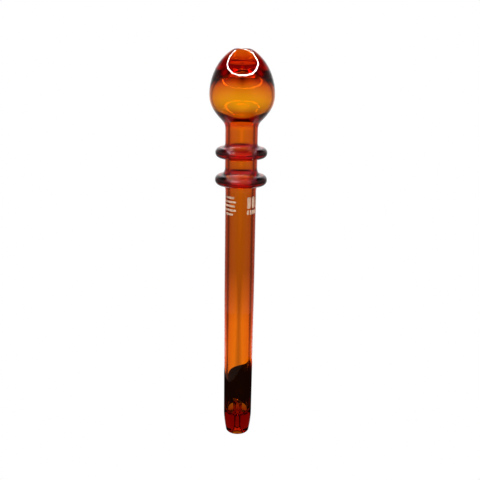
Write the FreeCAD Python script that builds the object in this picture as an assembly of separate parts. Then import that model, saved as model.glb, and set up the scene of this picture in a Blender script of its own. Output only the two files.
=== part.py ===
import FreeCAD, Part
import math
import os

# Lamp-worked amber glass tube with a bowl and a chamber in its egg-shaped head,
# two solid rings under the head and a thick mouth end.
# Millimetres. The axis is +Z and the origin is the centre of the foot of the mouth end.

V = FreeCAD.Vector

# ---- driving dimensions -------------------------------------------------------------
TOTAL_HEIGHT = 158.0
TUBE_R = 6.0               # 12 mm tube stock
TUBE_WALL = 1.6
MOUTH_TUBE_R = 5.7         # the stem is drawn slightly thinner towards the mouth
HEAD_R = 12.45

# ---- worked out from the tube stock -------------------------------------------------
BORE_R = TUBE_R - TUBE_WALL
NECK_R = TUBE_R + 0.25
NECK_BORE_R = BORE_R + 0.2
AIR_HOLE_R = 0.9           # hole through the mouth end and its inner post
BOWL_HOLE_R = 0.7          # hole from the bowl into the chamber

# ---- heights of the seams between the pieces ----------------------------------------
Z_TIP_TOP = 16.0
Z_TAPER_END = 60.0         # the stem is a true cylinder from here up to the lower ring
Z_STEM_TOP = 104.5
Z_LOWER_RING_TOP = 113.4
Z_UPPER_RING_BASE = 115.4
Z_UPPER_RING_TOP = 123.0
Z_NECK_TOP = 128.0
Z_CROWN_BASE = 147.0

# ---- rings --------------------------------------------------------------------------
UPPER_RING_Z = 119.2
UPPER_RING_R = 10.05
LOWER_RING_Z = 108.6
LOWER_RING_R = 10.13
RING_HALF = 2.0            # half the thickness of a ring at its rounded rim

# ---- head ---------------------------------------------------------------------------
HEAD_WIDEST_Z = 141.2
RIM_CREST_R = 2.5
MOUTH_R = 1.9              # narrowest radius of the bowl's mouth
BOWL_R = 5.9
BOWL_FLOOR_Z = 150.8
CHAMBER_R = 11.4
CHAMBER_WIDEST_Z = 140.2
FUNNEL_START_Z = 130.0     # the bore widens from here into the chamber
CEILING_Z = 149.6          # underside of the glass between bowl and chamber

# ---- mouth end ----------------------------------------------------------------------
LIP_R = 4.9                # radius where the rounded foot of the mouth end begins
FOOT_R = 3.6
POST_R = 1.9
POST_TOP_Z = 14.5
POST_BASE_Z = 8.2
POST_CUT_DEG = 28.0        # the post's top is finished at a slant

# ---- printed marks ------------------------------------------------------------------
MARK_THICKNESS = 0.08
MARK_TOP_Z = 102.7
ROWS_AZIMUTH = -138.0      # degrees from +X; the print flanks the front, -Y
ROW_WIDTHS = (5.0, 6.6, 5.8, 6.6, 4.2)
ROW_HEIGHT = 0.8
ROW_PITCH = 1.65
COLUMNS_AZIMUTH = -36.0
TALL_COLUMNS = 3
TALL_BAR = (1.5, 4.6)      # width and height
TALL_PITCH = 2.2
SHORT_COLUMNS = 5
SHORT_BAR = (0.8, 1.8)
SHORT_PITCH = 1.3
COLUMN_GAP = 0.6           # between the tall and the short columns


class Outline:
    """A closed outline in the (radius, height) half plane."""

    def __init__(self, r, z):
        self.start = (r, z)
        self.here = self.start
        self.edges = []

    def _add(self, curve, end):
        self.edges.append(curve.toShape())
        self.here = end

    def line(self, r, z):
        r_here, z_here = self.here
        self._add(Part.LineSegment(V(r_here, 0, z_here), V(r, 0, z)), (r, z))

    def bend(self, first_handle, second_handle, end):
        curve = Part.BezierCurve()
        curve.setPoles([V(r, 0, z) for r, z in (self.here, first_handle, second_handle, end)])
        self._add(curve, end)

    def round_rim(self, middle, end):
        points = [V(r, 0, z) for r, z in (self.here, middle, end)]
        self._add(Part.Arc(*points), end)

    def revolve(self):
        if self.here != self.start:
            self.line(*self.start)
        face = Part.Face(Part.Wire(self.edges))
        return face.revolve(V(0, 0, 0), V(0, 0, 1), 360)


def tube_radius(z):
    """Outside radius of the stem, tapering below Z_TAPER_END."""
    if z >= Z_TAPER_END:
        return TUBE_R
    share = z / Z_TAPER_END
    return MOUTH_TUBE_R + (TUBE_R - MOUTH_TUBE_R) * share


def add_ring(outline, centre_z, rim_r, shoulder):
    """A solid ring round the tube; shoulder is the height of the slope above it."""
    top = centre_z + RING_HALF
    foot = centre_z - RING_HALF
    rim_centre = rim_r - RING_HALF
    outline.line(NECK_R, top + shoulder)
    outline.bend((NECK_R + 0.1, top + 0.3 * shoulder), (NECK_R + 0.4 * shoulder, top), (rim_centre, top))
    outline.round_rim((rim_r, centre_z), (rim_centre, foot))
    outline.bend((NECK_R + 0.5, foot), (NECK_R, foot - 0.1), (NECK_R, foot - 0.8))


def glass_wall():
    """The whole fused wall of the object, outside and inside, without the inner post."""
    crest = TOTAL_HEIGHT
    wall = Outline(RIM_CREST_R, crest)
    # outside of the head, from the rounded rim down to the neck
    wall.bend((3.6, crest), (6.0, 156.3), (8.0, 153.95))
    wall.bend((10.07, 151.51), (HEAD_R, 146.8), (HEAD_R, HEAD_WIDEST_Z))
    wall.bend((HEAD_R, 137.4), (10.7, 134.6), (7.6, 131.45))
    wall.bend((6.75, 130.59), (NECK_R, 129.7), (NECK_R, Z_NECK_TOP))
    # rings and stem
    add_ring(wall, UPPER_RING_Z, UPPER_RING_R, 1.6)
    add_ring(wall, LOWER_RING_Z, LOWER_RING_R, 2.6)
    wall.line(TUBE_R, Z_STEM_TOP)
    wall.line(TUBE_R, Z_TAPER_END)
    wall.line(tube_radius(POST_BASE_Z), POST_BASE_Z)
    # thick mouth end with a rounded foot
    wall.bend((5.6, 5.0), (5.1, 2.2), (LIP_R, 1.2))
    wall.bend((4.8, 0.2), (4.3, 0.0), (FOOT_R, 0.0))
    # mouth hole, flared at the foot
    wall.line(1.8, 0.0)
    wall.bend((1.6, 1.0), (AIR_HOLE_R, 2.0), (AIR_HOLE_R, 3.5))
    wall.line(AIR_HOLE_R, POST_BASE_Z)
    # floor of the bore and the bore itself
    wall.line(POST_R, POST_BASE_Z)
    wall.bend((3.2, POST_BASE_Z), (4.0, 8.6), (BORE_R - 0.2, 11.0))
    wall.line(BORE_R, Z_TIP_TOP)
    wall.line(BORE_R, Z_STEM_TOP)
    wall.line(NECK_BORE_R, Z_LOWER_RING_TOP)
    wall.line(NECK_BORE_R, FUNNEL_START_Z)
    # chamber, closed above by the glass that carries the bowl
    wall.bend((NECK_BORE_R, 131.0), (5.0, 131.9), (5.9, 132.4))
    wall.bend((8.3, 133.8), (CHAMBER_R - 0.2, 136.0), (CHAMBER_R, CHAMBER_WIDEST_Z))
    wall.bend((CHAMBER_R, 145.0), (9.0, 148.2), (6.2, 150.0))
    wall.bend((5.22, 150.63), (4.7, CEILING_Z), (BOWL_HOLE_R, CEILING_Z))
    # hole and bowl
    wall.line(BOWL_HOLE_R, BOWL_FLOOR_Z)
    wall.bend((4.72, BOWL_FLOOR_Z), (BOWL_R, 151.15), (BOWL_R, BOWL_FLOOR_Z + 1.0))
    wall.bend((BOWL_R, 153.8), (3.6, 155.9), (MOUTH_R, 157.2))
    wall.bend((1.6, 157.7), (MOUTH_R, crest), (RIM_CREST_R, crest))
    return wall.revolve()


def slab(z_low, z_high):
    """A disc-shaped block that holds everything between two heights."""
    return Part.makeCylinder(2 * HEAD_R, z_high - z_low, V(0, 0, z_low))


def inner_post():
    """Re-entrant tube that stands on the floor of the bore, cut off at a slant."""
    post = Part.makeCylinder(POST_R, POST_TOP_Z - POST_BASE_Z, V(0, 0, POST_BASE_Z))
    post = post.cut(Part.makeCylinder(AIR_HOLE_R, POST_TOP_Z, V(0, 0, 0)))
    cutter = Part.makeBox(20, 20, 10, V(-10, -10, 0))
    cutter.rotate(V(0, 0, 0), V(0, 1, 0), POST_CUT_DEG)
    drop = POST_R * math.tan(math.radians(POST_CUT_DEG))
    cutter.translate(V(0, 0, POST_TOP_Z - drop))
    return post.cut(cutter)


def mark_bar(azimuth, along, z, width, height):
    """One enamel bar fused flush into the stem: width along the surface, height along the axis."""
    skin = Part.makeCylinder(TUBE_R, height, V(0, 0, z - height / 2))
    skin = skin.cut(Part.makeCylinder(TUBE_R - MARK_THICKNESS, height, V(0, 0, z - height / 2)))
    window = Part.makeBox(2 * TUBE_R, width, height, V(0, -width / 2, z - height / 2))
    turn = azimuth + math.degrees(along / TUBE_R)
    window.rotate(V(0, 0, 0), V(0, 0, 1), turn)
    return skin.common(window)


def columns(azimuth, count, pitch, top, bar):
    """A row of upright bars side by side, hanging from one height."""
    width, height = bar
    places = [pitch * (i - (count - 1) / 2) for i in range(count)]
    return [mark_bar(azimuth, along, top - height / 2, width, height) for along in places]


def printed_marks():
    """Two plain blocks of enamel bars: one of rows, one of tall bars over short bars."""
    bars = []
    for i, width in enumerate(ROW_WIDTHS):
        z = MARK_TOP_Z - ROW_HEIGHT / 2 - ROW_PITCH * i
        bars.append(mark_bar(ROWS_AZIMUTH, 0.0, z, width, ROW_HEIGHT))
    short_top = MARK_TOP_Z - TALL_BAR[1] - COLUMN_GAP
    bars += columns(COLUMNS_AZIMUTH, TALL_COLUMNS, TALL_PITCH, MARK_TOP_Z, TALL_BAR)
    bars += columns(COLUMNS_AZIMUTH, SHORT_COLUMNS, SHORT_PITCH, short_top, SHORT_BAR)
    return Part.makeCompound(bars)


SEAMS = (
    ("mouth_tip", 0.0, Z_TIP_TOP),
    ("stem_tube", Z_TIP_TOP, Z_STEM_TOP),
    ("lower_ring", Z_STEM_TOP, Z_LOWER_RING_TOP),
    ("collar_tube", Z_LOWER_RING_TOP, Z_UPPER_RING_BASE),
    ("upper_ring", Z_UPPER_RING_BASE, Z_UPPER_RING_TOP),
    ("neck_tube", Z_UPPER_RING_TOP, Z_NECK_TOP),
    ("chamber_shell", Z_NECK_TOP, Z_CROWN_BASE),
    ("bowl_crown", Z_CROWN_BASE, TOTAL_HEIGHT),
)

os.makedirs("parts", exist_ok=True)
wall = glass_wall()
pieces = {name: wall.common(slab(low, high)) for name, low, high in SEAMS}
pieces["inner_post"] = inner_post()
pieces["printed_marks"] = printed_marks()
pieces["stem_tube"] = pieces["stem_tube"].cut(pieces["printed_marks"])
for name, shape in pieces.items():
    shape.exportStep(f"parts/{name}.step")
    box = shape.BoundBox
    print(f"{name}: solids {len(shape.Solids)}, valid {shape.isValid()}, "
          f"volume {shape.Volume:.1f}, z {box.ZMin:.2f} to {box.ZMax:.2f}")
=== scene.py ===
import math

import bmesh
import bpy
from mathutils import Matrix, Vector


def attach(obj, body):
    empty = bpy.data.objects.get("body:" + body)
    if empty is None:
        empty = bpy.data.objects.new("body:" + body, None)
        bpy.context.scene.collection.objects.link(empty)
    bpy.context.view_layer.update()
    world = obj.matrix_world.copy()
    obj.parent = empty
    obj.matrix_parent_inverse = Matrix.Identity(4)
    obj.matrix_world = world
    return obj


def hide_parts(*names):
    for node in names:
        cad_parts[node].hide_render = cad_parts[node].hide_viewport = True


# Looks of a lamp-worked amber glass tube with an egg-shaped head, two rings and a thick mouth end.
# Every glass piece is turned from its own closed outline. Where two pieces are melted together
# their facing surfaces have an index of 1, so light passes from one into the other unbent.

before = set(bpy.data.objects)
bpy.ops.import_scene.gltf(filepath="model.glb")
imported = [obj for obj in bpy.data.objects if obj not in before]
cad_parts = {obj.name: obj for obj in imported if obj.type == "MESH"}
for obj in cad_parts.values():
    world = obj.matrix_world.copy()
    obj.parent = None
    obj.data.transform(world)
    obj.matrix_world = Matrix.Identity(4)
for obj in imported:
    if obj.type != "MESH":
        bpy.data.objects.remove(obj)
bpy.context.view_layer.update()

MM = 0.001

# ---- meshes -----------------------------------------------------------------------------
SEGMENTS = 192             # flats round the axis
STEP = 0.35                # mm between rings along a curved outline
LINE_STEP = 4.0            # mm between rings along a straight outline
MIN_BEND_STEPS = 6
RIM_STEPS = 28             # rings round the rim of a solid ring
FUSE_GAP = 0.008           # mm between two pieces that are melted together
PAST_END = 1.0             # mm beyond an end of the object that is still cut as part of it
SAME_PLACE = 1e-6

# ---- sizes, mm --------------------------------------------------------------------------
TOTAL_HEIGHT = 158.0
TUBE_R = 6.0
MOUTH_TUBE_R = 5.7         # the stem is drawn slightly thinner towards the mouth
BORE_R = 4.4
NECK_R = 6.25
NECK_BORE_R = 4.6
AIR_HOLE_R = 0.9
BOWL_HOLE_R = 0.7

Z_TIP_TOP = 16.0
Z_TAPER_END = 60.0
Z_STEM_TOP = 104.5
Z_LOWER_RING_TOP = 113.4
Z_UPPER_RING_BASE = 115.4
Z_UPPER_RING_TOP = 123.0
Z_NECK_TOP = 128.0
Z_CROWN_BASE = 147.0

UPPER_RING_Z = 119.2
UPPER_RING_R = 10.05
UPPER_SHOULDER = 1.6       # height of the slope above the ring
LOWER_RING_Z = 108.6
LOWER_RING_R = 10.13
LOWER_SHOULDER = 2.6
RING_HALF = 2.0            # half the thickness of a ring at its rounded rim

HEAD_R = 12.45
HEAD_WIDEST_Z = 141.2
RIM_CREST_R = 2.5
MOUTH_R = 1.9              # narrowest radius of the bowl's mouth
BOWL_R = 5.9
BOWL_FLOOR_Z = 150.8
CHAMBER_R = 11.4
CHAMBER_WIDEST_Z = 140.2
FUNNEL_START_Z = 130.0
CEILING_Z = 149.6          # underside of the glass between bowl and chamber

LIP_R = 4.9                # radius where the rounded foot of the mouth end begins
FOOT_R = 3.6
POST_R = 1.9
POST_TOP_Z = 14.5
POST_BASE_Z = 8.2
POST_STRAIGHT = 1.0        # height of the post that the slanted cut leaves alone
POST_EDGE = 0.18           # fire-polished upper edge
POST_CUT = math.radians(28.0)
FACES_UP = 0.99            # upward share of a normal that belongs to the slanted cut

SEAMS = (
    ("mouth_tip", 0.0, Z_TIP_TOP),
    ("stem_tube", Z_TIP_TOP, Z_STEM_TOP),
    ("lower_ring", Z_STEM_TOP, Z_LOWER_RING_TOP),
    ("collar_tube", Z_LOWER_RING_TOP, Z_UPPER_RING_BASE),
    ("upper_ring", Z_UPPER_RING_BASE, Z_UPPER_RING_TOP),
    ("neck_tube", Z_UPPER_RING_TOP, Z_NECK_TOP),
    ("chamber_shell", Z_NECK_TOP, Z_CROWN_BASE),
    ("bowl_crown", Z_CROWN_BASE, TOTAL_HEIGHT),
)

# ---- enamel print, mm ---------------------------------------------------------------------
MARK_TOP_Z = 102.7
ROWS_AZIMUTH = math.radians(-138.0)
ROW_WIDTHS = (5.0, 6.6, 5.8, 6.6, 4.2)
ROW_HEIGHT = 0.8
ROW_PITCH = 1.65
COLUMNS_AZIMUTH = math.radians(-36.0)
TALL_COLUMNS = 3
TALL_BAR = (1.5, 4.6)      # width and height
TALL_PITCH = 2.2
SHORT_COLUMNS = 5
SHORT_BAR = (0.8, 1.8)
SHORT_PITCH = 1.3
COLUMN_GAP = 0.6           # between the tall and the short columns
ENAMEL_LIFT = 0.012        # between the glass and the enamel
ENAMEL_TOP = 0.06          # from the glass to the enamel's outer face
ENAMEL_BEVEL = 0.96        # height of the outer face, as a share of the inner one
BAR_CORNER = 0.28          # corner radius, as a share of the bar's shorter side
BAR_STEP = 0.2             # between columns of points along a bar
MIN_BAR_STEPS = 8

# ---- materials ------------------------------------------------------------------------------
GLASS_INDEX = 1.474        # borosilicate
FUSED_INDEX = 1.0
GLASS_COLOUR = (0.981, 0.852, 0.0, 1.0)
GLASS_DENSITY = 4000.0     # 1/m
RIPPLE = {"scale": 140.0, "detail": 1.0, "strength": 0.02, "height": 0.0003}
GRAIN = {"scale": 1800.0, "detail": 4.0, "strength": 0.3, "height": 0.00004}
ENAMEL_ALPHA = 0.7         # the enamel is thin, so the amber shows through
ENAMEL_ROUGHNESS = 0.45
ENAMEL_TONES = ((0.35, (0.56, 0.38, 0.24, 1.0)), (0.62, (0.84, 0.64, 0.48, 1.0)))

# ---- studio, mm -------------------------------------------------------------------------------
FLOOR_R = 2500.0
WALL_R = 145.0
BACK_R = 125.0
BACK_HALF = 60.0           # degrees that the back card spans to each side
FRONT_HALF = 50.0
WALL_FOOT = -0.55
WALL_TOP = 262.0
CARD_TOP_Z = 300.0
FLOOR_BACK_FROM = 48.0     # the bright part of the floor starts this far behind the object
# height and brightness of every card, and how it changes with the distance aside
WALL_LEVELS = ((0.0, 1.12), (14.0, 0.8), (32.0, 0.52), (60.0, 0.54), (93.0, 0.64), (112.0, 0.76),
               (135.0, 0.98), (180.0, 0.9), (225.0, 0.04))
CARD_FADE = (40.0, 105.0)
TONGUE_HALF = 8.0          # the shade reaches lower in the middle of the card
TONGUE_SLOPE = 3.0
BACK_GLOW = 1.0
SIDE_GLOW = 0.26
FRONT_GLOW = 0.13
TOP_GLOW = 0.02
FRONT_FLOOR_GLOW = 0.12
STAND_R = 67.0             # dark turntable that only the glass sees
STAND_X = 14.0
STAND_GLOW = 0.008
FOOT_PAD_R = 11.0          # bright spot under the mouth end
FOOT_PAD_Y = 10.0
FOOT_PAD_GLOW = 0.4
RING_LAMP_R = 117.0
RING_LAMP_TUBE_R = 3.2
RING_LAMP_Y = -10.0
RING_LAMP_Z = 260.0
RING_LAMP_TILT = math.radians(8.0)     # its front edge hangs lower
RING_GLOW = 80.0
KEY_POWER = 0.11           # W, soft light on the print
KEY_SIZE = 0.06            # m
KEY_PLACE = (0.01, -0.115, 0.20)       # m
KEY_TILT = math.radians(49.0)

# ---- camera -----------------------------------------------------------------------------------
CAMERA_PLACE = Vector((0.0, -0.2768, 0.1599))      # m
CAMERA_PITCH = math.radians(15.3)                  # looks down
CAMERA_ROLL = math.radians(0.86)
CAMERA_LENS = 54.0
CAMERA_SENSOR = 36.0
CAMERA_NEAR = 0.001
GLASS_BOUNCES = 48
GLOSS_BOUNCES = 16


# ---- outlines -----------------------------------------------------------------------------------
class Run:
    """One smooth stretch of an outline: points, the normals that look out of the glass, and
    whether it is a fused face."""

    def __init__(self, points, normals, fused=False):
        self.points = points
        self.normals = normals
        self.fused = fused


def facing(dr, dz):
    """Unit normal on the side away from the glass for a run that goes (dr, dz)."""
    length = math.hypot(dr, dz)
    return (-dz / length, dr / length)


class Outline:
    """A path in the (radius, height) half plane with the glass on the same hand all along."""

    def __init__(self, r, z):
        self.here = (r, z)
        self.runs = []

    def line(self, r, z, fused=False):
        r0, z0 = self.here
        normal = facing(r - r0, z - z0)
        count = max(1, round(math.hypot(r - r0, z - z0) / LINE_STEP))
        points = [(r0 + (r - r0) * i / count, z0 + (z - z0) * i / count) for i in range(count + 1)]
        self.runs.append(Run(points, [normal] * (count + 1), fused))
        self.here = (r, z)

    def bend(self, first, second, end):
        """A cubic curve with two handles."""
        poles = (self.here, first, second, end)
        span = sum(math.dist(poles[i], poles[i + 1]) for i in range(3))
        count = max(MIN_BEND_STEPS, round(span / STEP))
        points = []
        normals = []
        for i in range(count + 1):
            t = i / count
            s = 1.0 - t
            weights = (s ** 3, 3 * s * s * t, 3 * s * t * t, t ** 3)
            points.append(tuple(sum(w * p[k] for w, p in zip(weights, poles)) for k in (0, 1)))
            slopes = (-3 * s * s, 3 * s * s - 6 * s * t, 6 * s * t - 3 * t * t, 3 * t * t)
            normals.append(facing(*(sum(w * p[k] for w, p in zip(slopes, poles)) for k in (0, 1))))
        self.runs.append(Run(points, normals))
        self.here = end

    def half_turn(self, centre_r, centre_z, radius):
        """The rounded rim of a ring, from its top round the outside to its foot."""
        points = []
        normals = []
        for i in range(RIM_STEPS + 1):
            angle = math.pi / 2 - math.pi * i / RIM_STEPS
            normal = (math.cos(angle), math.sin(angle))
            points.append((centre_r + radius * normal[0], centre_z + radius * normal[1]))
            normals.append(normal)
        self.runs.append(Run(points, normals))
        self.here = (centre_r, centre_z - radius)


def add_ring(path, centre_z, rim_r, shoulder):
    """A solid ring round the tube; shoulder is the height of the slope above it."""
    top = centre_z + RING_HALF
    foot = centre_z - RING_HALF
    rim_centre = rim_r - RING_HALF
    path.line(NECK_R, top + shoulder)
    path.bend((NECK_R + 0.1, top + 0.3 * shoulder), (NECK_R + 0.4 * shoulder, top), (rim_centre, top))
    path.half_turn(rim_centre, centre_z, RING_HALF)
    path.bend((NECK_R + 0.5, foot), (NECK_R, foot - 0.1), (NECK_R, foot - 0.8))


def outside():
    """Outside of the whole object, from the crest of the rim down to the foot."""
    crest = TOTAL_HEIGHT
    path = Outline(RIM_CREST_R, crest)
    # head
    path.bend((3.6, crest), (6.0, 156.3), (8.0, 153.95))
    path.bend((10.07, 151.51), (HEAD_R, 146.8), (HEAD_R, HEAD_WIDEST_Z))
    path.bend((HEAD_R, 137.4), (10.7, 134.6), (7.6, 131.45))
    path.bend((6.75, 130.59), (NECK_R, 129.7), (NECK_R, Z_NECK_TOP))
    # rings and stem
    add_ring(path, UPPER_RING_Z, UPPER_RING_R, UPPER_SHOULDER)
    add_ring(path, LOWER_RING_Z, LOWER_RING_R, LOWER_SHOULDER)
    path.line(TUBE_R, Z_STEM_TOP)
    path.line(TUBE_R, Z_TAPER_END)
    path.line(MOUTH_TUBE_R + (TUBE_R - MOUTH_TUBE_R) * POST_BASE_Z / Z_TAPER_END, POST_BASE_Z)
    # mouth end
    path.bend((5.6, 5.0), (5.1, 2.2), (LIP_R, 1.2))
    path.bend((4.8, 0.2), (4.3, 0.0), (FOOT_R, 0.0))
    return path.runs


def inside():
    """Inside of the whole object, from the foot up the bore and through the chamber and bowl."""
    crest = TOTAL_HEIGHT
    path = Outline(FOOT_R, 0.0)
    # mouth hole, flared at the foot
    path.line(1.8, 0.0)
    path.bend((1.6, 1.0), (AIR_HOLE_R, 2.0), (AIR_HOLE_R, 3.5))
    path.line(AIR_HOLE_R, POST_BASE_Z)
    # floor of the bore, where the post is melted on, and the bore
    path.line(POST_R, POST_BASE_Z, fused=True)
    path.bend((3.2, POST_BASE_Z), (4.0, 8.6), (BORE_R - 0.2, 11.0))
    path.line(BORE_R, Z_TIP_TOP)
    path.line(BORE_R, Z_STEM_TOP)
    path.line(NECK_BORE_R, Z_LOWER_RING_TOP)
    path.line(NECK_BORE_R, FUNNEL_START_Z)
    # funnel and chamber
    path.bend((NECK_BORE_R, 131.0), (5.0, 131.9), (5.9, 132.4))
    path.bend((8.3, 133.8), (CHAMBER_R - 0.2, 136.0), (CHAMBER_R, CHAMBER_WIDEST_Z))
    path.bend((CHAMBER_R, 145.0), (9.0, 148.2), (6.2, 150.0))
    path.bend((5.22, 150.63), (4.7, CEILING_Z), (BOWL_HOLE_R, CEILING_Z))
    # hole and bowl
    path.line(BOWL_HOLE_R, BOWL_FLOOR_Z)
    path.bend((4.72, BOWL_FLOOR_Z), (BOWL_R, 151.15), (BOWL_R, BOWL_FLOOR_Z + 1.0))
    path.bend((BOWL_R, 153.8), (3.6, 155.9), (MOUTH_R, 157.2))
    path.bend((1.6, 157.7), (MOUTH_R, crest), (RIM_CREST_R, crest))
    return path.runs


def between(runs, low, high):
    """The part of some runs that lies between two heights, with exact ends."""
    kept = []
    for run in runs:
        points = []
        normals = []
        pairs = list(zip(run.points, run.normals))
        for i, (point, normal) in enumerate(pairs):
            if i > 0:
                before, normal_before = pairs[i - 1]
                levels = (low, high) if point[1] > before[1] else (high, low)
                for level in levels:
                    if (before[1] - level) * (point[1] - level) < 0:
                        share = (level - before[1]) / (point[1] - before[1])
                        points.append((before[0] + (point[0] - before[0]) * share, level))
                        normals.append(tuple(a + (b - a) * share for a, b in zip(normal_before, normal)))
            if low <= point[1] <= high:
                points.append(point)
                normals.append(normal)
        if len(points) > 1:
            kept.append(Run(points, normals, run.fused))
    return kept


def joined(*groups):
    """One closed outline from groups of runs, with fused faces across the places they miss."""
    runs = [run for group in groups for run in group]
    closed = []
    for i, run in enumerate(runs):
        closed.append(run)
        end = run.points[-1]
        start = runs[(i + 1) % len(runs)].points[0]
        if math.dist(end, start) > SAME_PLACE:
            normal = facing(start[0] - end[0], start[1] - end[1])
            closed.append(Run([end, start], [normal, normal], fused=True))
    return closed


def post_runs():
    """Outline of the inner post, with a fused foot and fire-polished upper edges."""
    foot = POST_BASE_Z + FUSE_GAP
    top = POST_TOP_Z
    edge = POST_EDGE
    path = Outline(POST_R, foot)
    path.line(AIR_HOLE_R, foot, fused=True)
    path.line(AIR_HOLE_R, top - edge)
    path.bend((AIR_HOLE_R, top - 0.4 * edge), (AIR_HOLE_R + 0.4 * edge, top), (AIR_HOLE_R + edge, top))
    path.line(POST_R - edge, top)
    path.bend((POST_R - 0.4 * edge, top), (POST_R, top - 0.4 * edge), (POST_R, top - edge))
    path.line(POST_R, foot)
    return path.runs


def post_lift(x, z):
    """Height that the slanted cut adds at a point of the post's upper end."""
    straight_top = POST_BASE_Z + POST_STRAIGHT
    share = max(0.0, (z - straight_top) / (POST_TOP_Z - straight_top))
    return -share * (POST_R + x) * math.tan(POST_CUT)


# ---- meshes -------------------------------------------------------------------------------------
def add_object(name, mesh):
    piece = bpy.data.objects.new(name, mesh)
    bpy.context.scene.collection.objects.link(piece)
    return piece


def turned(name, runs, lift=None, cut_normal=None):
    """A closed glass mesh turned from an outline, with exact normals. lift gives the extra height
    at a point, and cut_normal the normal of the faces that then slant."""
    rings = []                       # (r, z) of each ring
    strips = []                      # (ring, normal, next normal, fused)
    for run in runs:
        for i in range(len(run.points) - 1):
            rings.append(run.points[i])
            strips.append((len(rings) - 1, run.normals[i], run.normals[i + 1], run.fused))
    turns = [2 * math.pi * i / SEGMENTS for i in range(SEGMENTS)]
    around = [(math.cos(turn), math.sin(turn)) for turn in turns]
    verts = []
    for r, z in rings:
        for c, s in around:
            extra = lift(r * c, z) if lift else 0.0
            verts.append((r * c * MM, r * s * MM, (z + extra) * MM))
    faces = []
    normals = []
    index = []
    for ring, here, ahead, fused in strips:
        low = ring * SEGMENTS
        high = (ring + 1) % len(rings) * SEGMENTS
        for i in range(SEGMENTS):
            j = (i + 1) % SEGMENTS
            faces.append((low + i, high + i, high + j, low + j))
            for (nr, nz), k in ((here, i), (ahead, i), (ahead, j), (here, j)):
                if cut_normal and nz > FACES_UP:
                    normals.append(cut_normal)
                else:
                    normals.append(Vector((nr * around[k][0], nr * around[k][1], nz)).normalized())
            index.append(FUSED_INDEX if fused else GLASS_INDEX)
    mesh = bpy.data.meshes.new(name)
    mesh.from_pydata(verts, [], faces)
    mesh.attributes.new("glass_index", "FLOAT", "FACE").data.foreach_set("value", index)
    mesh.polygons.foreach_set("use_smooth", [True] * len(faces))
    mesh.normals_split_custom_set(normals)
    mesh.update()
    return add_object(name, mesh)


def enamel_bar(bm, azimuth, z, width, height):
    """One thin printed bar with rounded corners, bent round the stem."""
    low_r = TUBE_R + ENAMEL_LIFT
    high_r = TUBE_R + ENAMEL_TOP
    corner = BAR_CORNER * min(width, height)
    count = max(MIN_BAR_STEPS, round(width / BAR_STEP))
    columns = []
    for i in range(count + 1):
        along = width * (i / count - 0.5)
        past = max(0.0, corner - (width / 2 - abs(along)))
        half = height / 2 - corner + math.sqrt(corner ** 2 - past ** 2)
        angle = azimuth + along / TUBE_R
        top = ENAMEL_BEVEL * half
        column = []
        for radius, up in ((low_r, -half), (high_r, -top), (high_r, top), (low_r, half)):
            place = (radius * math.cos(angle), radius * math.sin(angle), z + up)
            column.append(bm.verts.new([c * MM for c in place]))
        columns.append(column)
    for here, ahead in zip(columns, columns[1:]):
        for i in range(4):
            j = (i + 1) % 4
            bm.faces.new((here[i], here[j], ahead[j], ahead[i]))
    bm.faces.new(columns[0])
    bm.faces.new(list(reversed(columns[-1])))


def enamel_columns(bm, count, pitch, top, bar):
    """A row of upright bars side by side, hanging from one height."""
    width, height = bar
    for i in range(count):
        along = pitch * (i - (count - 1) / 2)
        enamel_bar(bm, COLUMNS_AZIMUTH + along / TUBE_R, top - height / 2, width, height)


def printed_marks():
    """Two plain blocks of enamel bars: one of rows, one of tall bars over short bars."""
    bm = bmesh.new()
    for i, width in enumerate(ROW_WIDTHS):
        enamel_bar(bm, ROWS_AZIMUTH, MARK_TOP_Z - ROW_HEIGHT / 2 - ROW_PITCH * i, width, ROW_HEIGHT)
    enamel_columns(bm, TALL_COLUMNS, TALL_PITCH, MARK_TOP_Z, TALL_BAR)
    enamel_columns(bm, SHORT_COLUMNS, SHORT_PITCH, MARK_TOP_Z - TALL_BAR[1] - COLUMN_GAP, SHORT_BAR)
    bmesh.ops.recalc_face_normals(bm, faces=bm.faces)
    mesh = bpy.data.meshes.new("printed_marks_enamel")
    bm.to_mesh(mesh)
    bm.free()
    return add_object("printed_marks_enamel", mesh)


# ---- materials ----------------------------------------------------------------------------------
def node_material(name):
    material = bpy.data.materials.new(name)
    material.use_nodes = True
    return material


def add_noise(material, scale, detail, strength, height):
    """Noise in the object's own space that bumps the surface; returns the noise."""
    nodes = material.node_tree.nodes
    links = material.node_tree.links
    place = nodes.new("ShaderNodeTexCoord")
    noise = nodes.new("ShaderNodeTexNoise")
    noise.inputs["Scale"].default_value = scale
    noise.inputs["Detail"].default_value = detail
    bump = nodes.new("ShaderNodeBump")
    bump.inputs["Strength"].default_value = strength
    bump.inputs["Distance"].default_value = height
    links.new(place.outputs["Object"], noise.inputs["Vector"])
    links.new(noise.outputs["Fac"], bump.inputs["Height"])
    links.new(bump.outputs["Normal"], nodes["Principled BSDF"].inputs["Normal"])
    return noise.outputs["Fac"]


def amber_glass():
    """Clear borosilicate, melted smooth, whose colour comes from the depth of glass."""
    material = node_material("amber_glass")
    nodes = material.node_tree.nodes
    links = material.node_tree.links
    surface = nodes["Principled BSDF"]
    surface.inputs["Base Color"].default_value = (1.0, 1.0, 1.0, 1.0)
    surface.inputs["Transmission Weight"].default_value = 1.0
    surface.inputs["Roughness"].default_value = 0.0
    index = nodes.new("ShaderNodeAttribute")
    index.attribute_name = "glass_index"
    links.new(index.outputs["Fac"], surface.inputs["IOR"])
    # faint ripples left by the flame
    add_noise(material, **RIPPLE)
    # amber: the deeper the glass, the redder
    depth = nodes.new("ShaderNodeVolumeAbsorption")
    depth.inputs["Color"].default_value = GLASS_COLOUR
    depth.inputs["Density"].default_value = GLASS_DENSITY
    links.new(depth.outputs["Volume"], nodes["Material Output"].inputs["Volume"])
    return material


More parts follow.
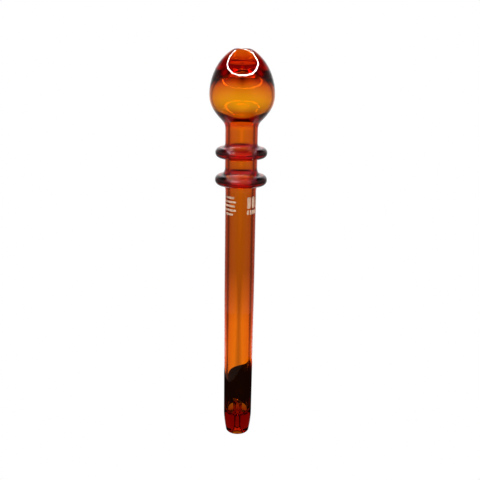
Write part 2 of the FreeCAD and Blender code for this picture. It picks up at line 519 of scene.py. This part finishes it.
def white_enamel():
    """Thin fired enamel, slightly worn and grainy."""
    material = node_material("white_enamel")
    nodes = material.node_tree.nodes
    links = material.node_tree.links
    surface = nodes["Principled BSDF"]
    surface.inputs["Roughness"].default_value = ENAMEL_ROUGHNESS
    surface.inputs["Alpha"].default_value = ENAMEL_ALPHA
    grain = add_noise(material, **GRAIN)
    tone = nodes.new("ShaderNodeValToRGB")
    for stop, (place, colour) in zip(tone.color_ramp.elements, ENAMEL_TONES):
        stop.position = place
        stop.color = colour
    links.new(grain, tone.inputs["Fac"])
    links.new(tone.outputs["Color"], surface.inputs["Base Color"])
    return material


def glow(name, strength):
    """A plain even card."""
    material = node_material(name)
    nodes = material.node_tree.nodes
    nodes.clear()
    light = nodes.new("ShaderNodeEmission")
    light.inputs["Strength"].default_value = strength
    out = nodes.new("ShaderNodeOutputMaterial")
    material.node_tree.links.new(light.outputs["Emission"], out.inputs["Surface"])
    return material


def maths(material, operation, *terms):
    """The value of a maths node whose terms are numbers or other nodes' outputs."""
    node = material.node_tree.nodes.new("ShaderNodeMath")
    node.operation = operation
    for socket, term in zip(node.inputs, terms):
        if isinstance(term, float):
            socket.default_value = term
        else:
            material.node_tree.links.new(term, socket)
    return node.outputs["Value"]


def fading_glow(name, middle):
    """A card whose light follows WALL_LEVELS up its height and goes from middle to SIDE_GLOW aside."""
    material = glow(name, 1.0)
    nodes = material.node_tree.nodes
    links = material.node_tree.links
    place = nodes.new("ShaderNodeNewGeometry")
    axes = nodes.new("ShaderNodeSeparateXYZ")
    links.new(place.outputs["Position"], axes.inputs["Vector"])
    aside = maths(material, "ABSOLUTE", axes.outputs["X"])
    across = nodes.new("ShaderNodeMapRange")
    across.interpolation_type = "SMOOTHSTEP"
    across.inputs["From Min"].default_value = CARD_FADE[0] * MM
    across.inputs["From Max"].default_value = CARD_FADE[1] * MM
    across.inputs["To Min"].default_value = middle
    across.inputs["To Max"].default_value = SIDE_GLOW
    links.new(aside, across.inputs["Value"])
    # the height is read lower in the middle, where the shade reaches further down
    near_middle = maths(material, "MINIMUM", aside, TONGUE_HALF * MM)
    lowered = maths(material, "MULTIPLY_ADD", near_middle, -TONGUE_SLOPE, axes.outputs["Z"])
    tongue = TONGUE_HALF * TONGUE_SLOPE / WALL_TOP
    height = maths(material, "MULTIPLY_ADD", lowered, 1.0 / (WALL_TOP * MM), tongue)
    ramp = nodes.new("ShaderNodeValToRGB")
    stops = ramp.color_ramp.elements
    while len(stops) < len(WALL_LEVELS):
        stops.new(1.0)
    for stop, (z, level) in zip(stops, WALL_LEVELS):
        stop.position = z / WALL_TOP
        stop.color = (level, level, level, 1.0)
    links.new(height, ramp.inputs["Fac"])
    both = maths(material, "MULTIPLY", across.outputs["Result"], ramp.outputs["Color"])
    links.new(both, nodes["Emission"].inputs["Strength"])
    return material


# ---- the object -----------------------------------------------------------------------------------
glass = amber_glass()
outer_runs = outside()
inner_runs = inside()
for node, low, high in SEAMS:
    floor_z = low + FUSE_GAP / 2 if low > 0.0 else low - PAST_END
    ceiling_z = high - FUSE_GAP / 2 if high < TOTAL_HEIGHT else high + PAST_END
    outline = joined(between(outer_runs, floor_z, ceiling_z), between(inner_runs, floor_z, ceiling_z))
    piece = turned(node + "_glass", outline)
    piece.data.materials.append(glass)
    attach(piece, "root")
    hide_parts(node)

slanted = Vector((math.sin(POST_CUT), 0.0, math.cos(POST_CUT)))
post = turned("inner_post_glass", post_runs(), post_lift, slanted)
post.data.materials.append(glass)
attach(post, "root")
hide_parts("inner_post")

marks = printed_marks()
marks.data.materials.append(white_enamel())
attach(marks, "root")
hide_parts("printed_marks")


# ---- studio ---------------------------------------------------------------------------------------
def card(name, shape, material, seen=False):
    """A card of the studio, from its points and faces; seen says whether the camera sees it."""
    verts, faces = shape
    mesh = bpy.data.meshes.new(name)
    mesh.from_pydata([(x * MM, y * MM, z * MM) for x, y, z in verts], [], faces)
    mesh.materials.append(material)
    sheet = add_object(name, mesh)
    sheet.visible_camera = seen
    return sheet


def disc(radius, z, count=96):
    turns = [2 * math.pi * i / count for i in range(count)]
    return [(radius * math.cos(a), radius * math.sin(a), z) for a in turns], [tuple(range(count))]


def half_disc(radius, z, from_y, count=48):
    """The part of a disc beyond from_y, towards the back."""
    start = math.asin(from_y / radius)
    turns = [start + (math.pi - 2 * start) * i / count for i in range(count + 1)]
    return [(radius * math.cos(a), radius * math.sin(a), z) for a in turns], [tuple(range(count + 1))]


def wall(start_deg, end_deg, radius=WALL_R, count=32):
    """A curved upright card round the object, between two directions."""
    verts = []
    for i in range(count + 1):
        angle = math.radians(start_deg + (end_deg - start_deg) * i / count)
        for z in (WALL_FOOT, WALL_TOP):
            verts.append((radius * math.cos(angle), radius * math.sin(angle), z))
    faces = [(2 * i, 2 * i + 2, 2 * i + 3, 2 * i + 1) for i in range(count)]
    return verts, faces


# directions in degrees from +X: the back is 90 and the front 270
BACK_LEFT = 90.0 + BACK_HALF
BACK_RIGHT = 90.0 - BACK_HALF
FRONT_LEFT = 270.0 - FRONT_HALF
FRONT_RIGHT = 270.0 + FRONT_HALF

# the flat cards lie a tenth of a millimetre or more apart, the smaller over the larger
card("floor_white", disc(FLOOR_R, -0.6), glow("floor_white", 1.0), seen=True)
card("back_floor", half_disc(BACK_R, -0.4, FLOOR_BACK_FROM), fading_glow("back_floor", BACK_GLOW))
card("front_floor", disc(WALL_R, -0.5), glow("front_floor", FRONT_FLOOR_GLOW))
turntable = card("dark_turntable", disc(STAND_R, -0.2), glow("turntable_dark", STAND_GLOW))
turntable.location.x = STAND_X * MM
pad = card("foot_pad", disc(FOOT_PAD_R, -0.1), glow("foot_pad", FOOT_PAD_GLOW))
pad.location.y = FOOT_PAD_Y * MM
side_light = fading_glow("side_card", SIDE_GLOW)
card("back_card", wall(BACK_RIGHT, BACK_LEFT, BACK_R), fading_glow("back_card", BACK_GLOW))
card("left_card", wall(BACK_LEFT, FRONT_LEFT), side_light)
card("right_card", wall(FRONT_RIGHT - 360.0, BACK_RIGHT), side_light)
card("front_card", wall(FRONT_LEFT, FRONT_RIGHT), fading_glow("front_card", FRONT_GLOW))
card("top_card", disc(WALL_R, CARD_TOP_Z), glow("top_card", TOP_GLOW))

bpy.ops.mesh.primitive_torus_add(
    major_radius=RING_LAMP_R * MM,
    minor_radius=RING_LAMP_TUBE_R * MM,
    major_segments=128,
    minor_segments=16,
    location=(0.0, RING_LAMP_Y * MM, RING_LAMP_Z * MM),
)
ring_lamp = bpy.context.object
ring_lamp.rotation_euler = (RING_LAMP_TILT, 0.0, 0.0)
ring_lamp.name = "ring_lamp"
ring_lamp.data.materials.append(glow("ring_lamp", RING_GLOW))
ring_lamp.visible_camera = False

key = bpy.data.lights.new("enamel_key", "AREA")
key.energy = KEY_POWER
key.size = KEY_SIZE
key_lamp = add_object("enamel_key", key)
key_lamp.location = KEY_PLACE
key_lamp.rotation_euler = (KEY_TILT, 0.0, 0.0)
key_lamp.visible_glossy = False
key_lamp.visible_transmission = False

# the camera sees a white background, and the glass sees only the cards
world = bpy.data.worlds.new("studio")
bpy.context.scene.world = world
world.use_nodes = True
sky = world.node_tree.nodes["Background"]
sky.inputs["Color"].default_value = (1.0, 1.0, 1.0, 1.0)
path = world.node_tree.nodes.new("ShaderNodeLightPath")
world.node_tree.links.new(path.outputs["Is Camera Ray"], sky.inputs["Strength"])

# ---- camera ---------------------------------------------------------------------------------------
view = bpy.data.cameras.new("camera")
view.sensor_width = CAMERA_SENSOR
view.lens = CAMERA_LENS
view.clip_start = CAMERA_NEAR
camera = add_object("camera", view)
tilt = Matrix.Rotation(math.pi / 2 - CAMERA_PITCH, 4, "X")
roll = Matrix.Rotation(CAMERA_ROLL, 4, "Z")
camera.matrix_world = Matrix.Translation(CAMERA_PLACE) @ tilt @ roll
bpy.context.scene.camera = camera

cycles = bpy.context.scene.cycles
cycles.max_bounces = GLASS_BOUNCES
cycles.transmission_bounces = GLASS_BOUNCES
cycles.glossy_bounces = GLOSS_BOUNCES
cycles.caustics_reflective = True
cycles.caustics_refractive = True
bpy.context.scene.view_settings.view_transform = "Standard"
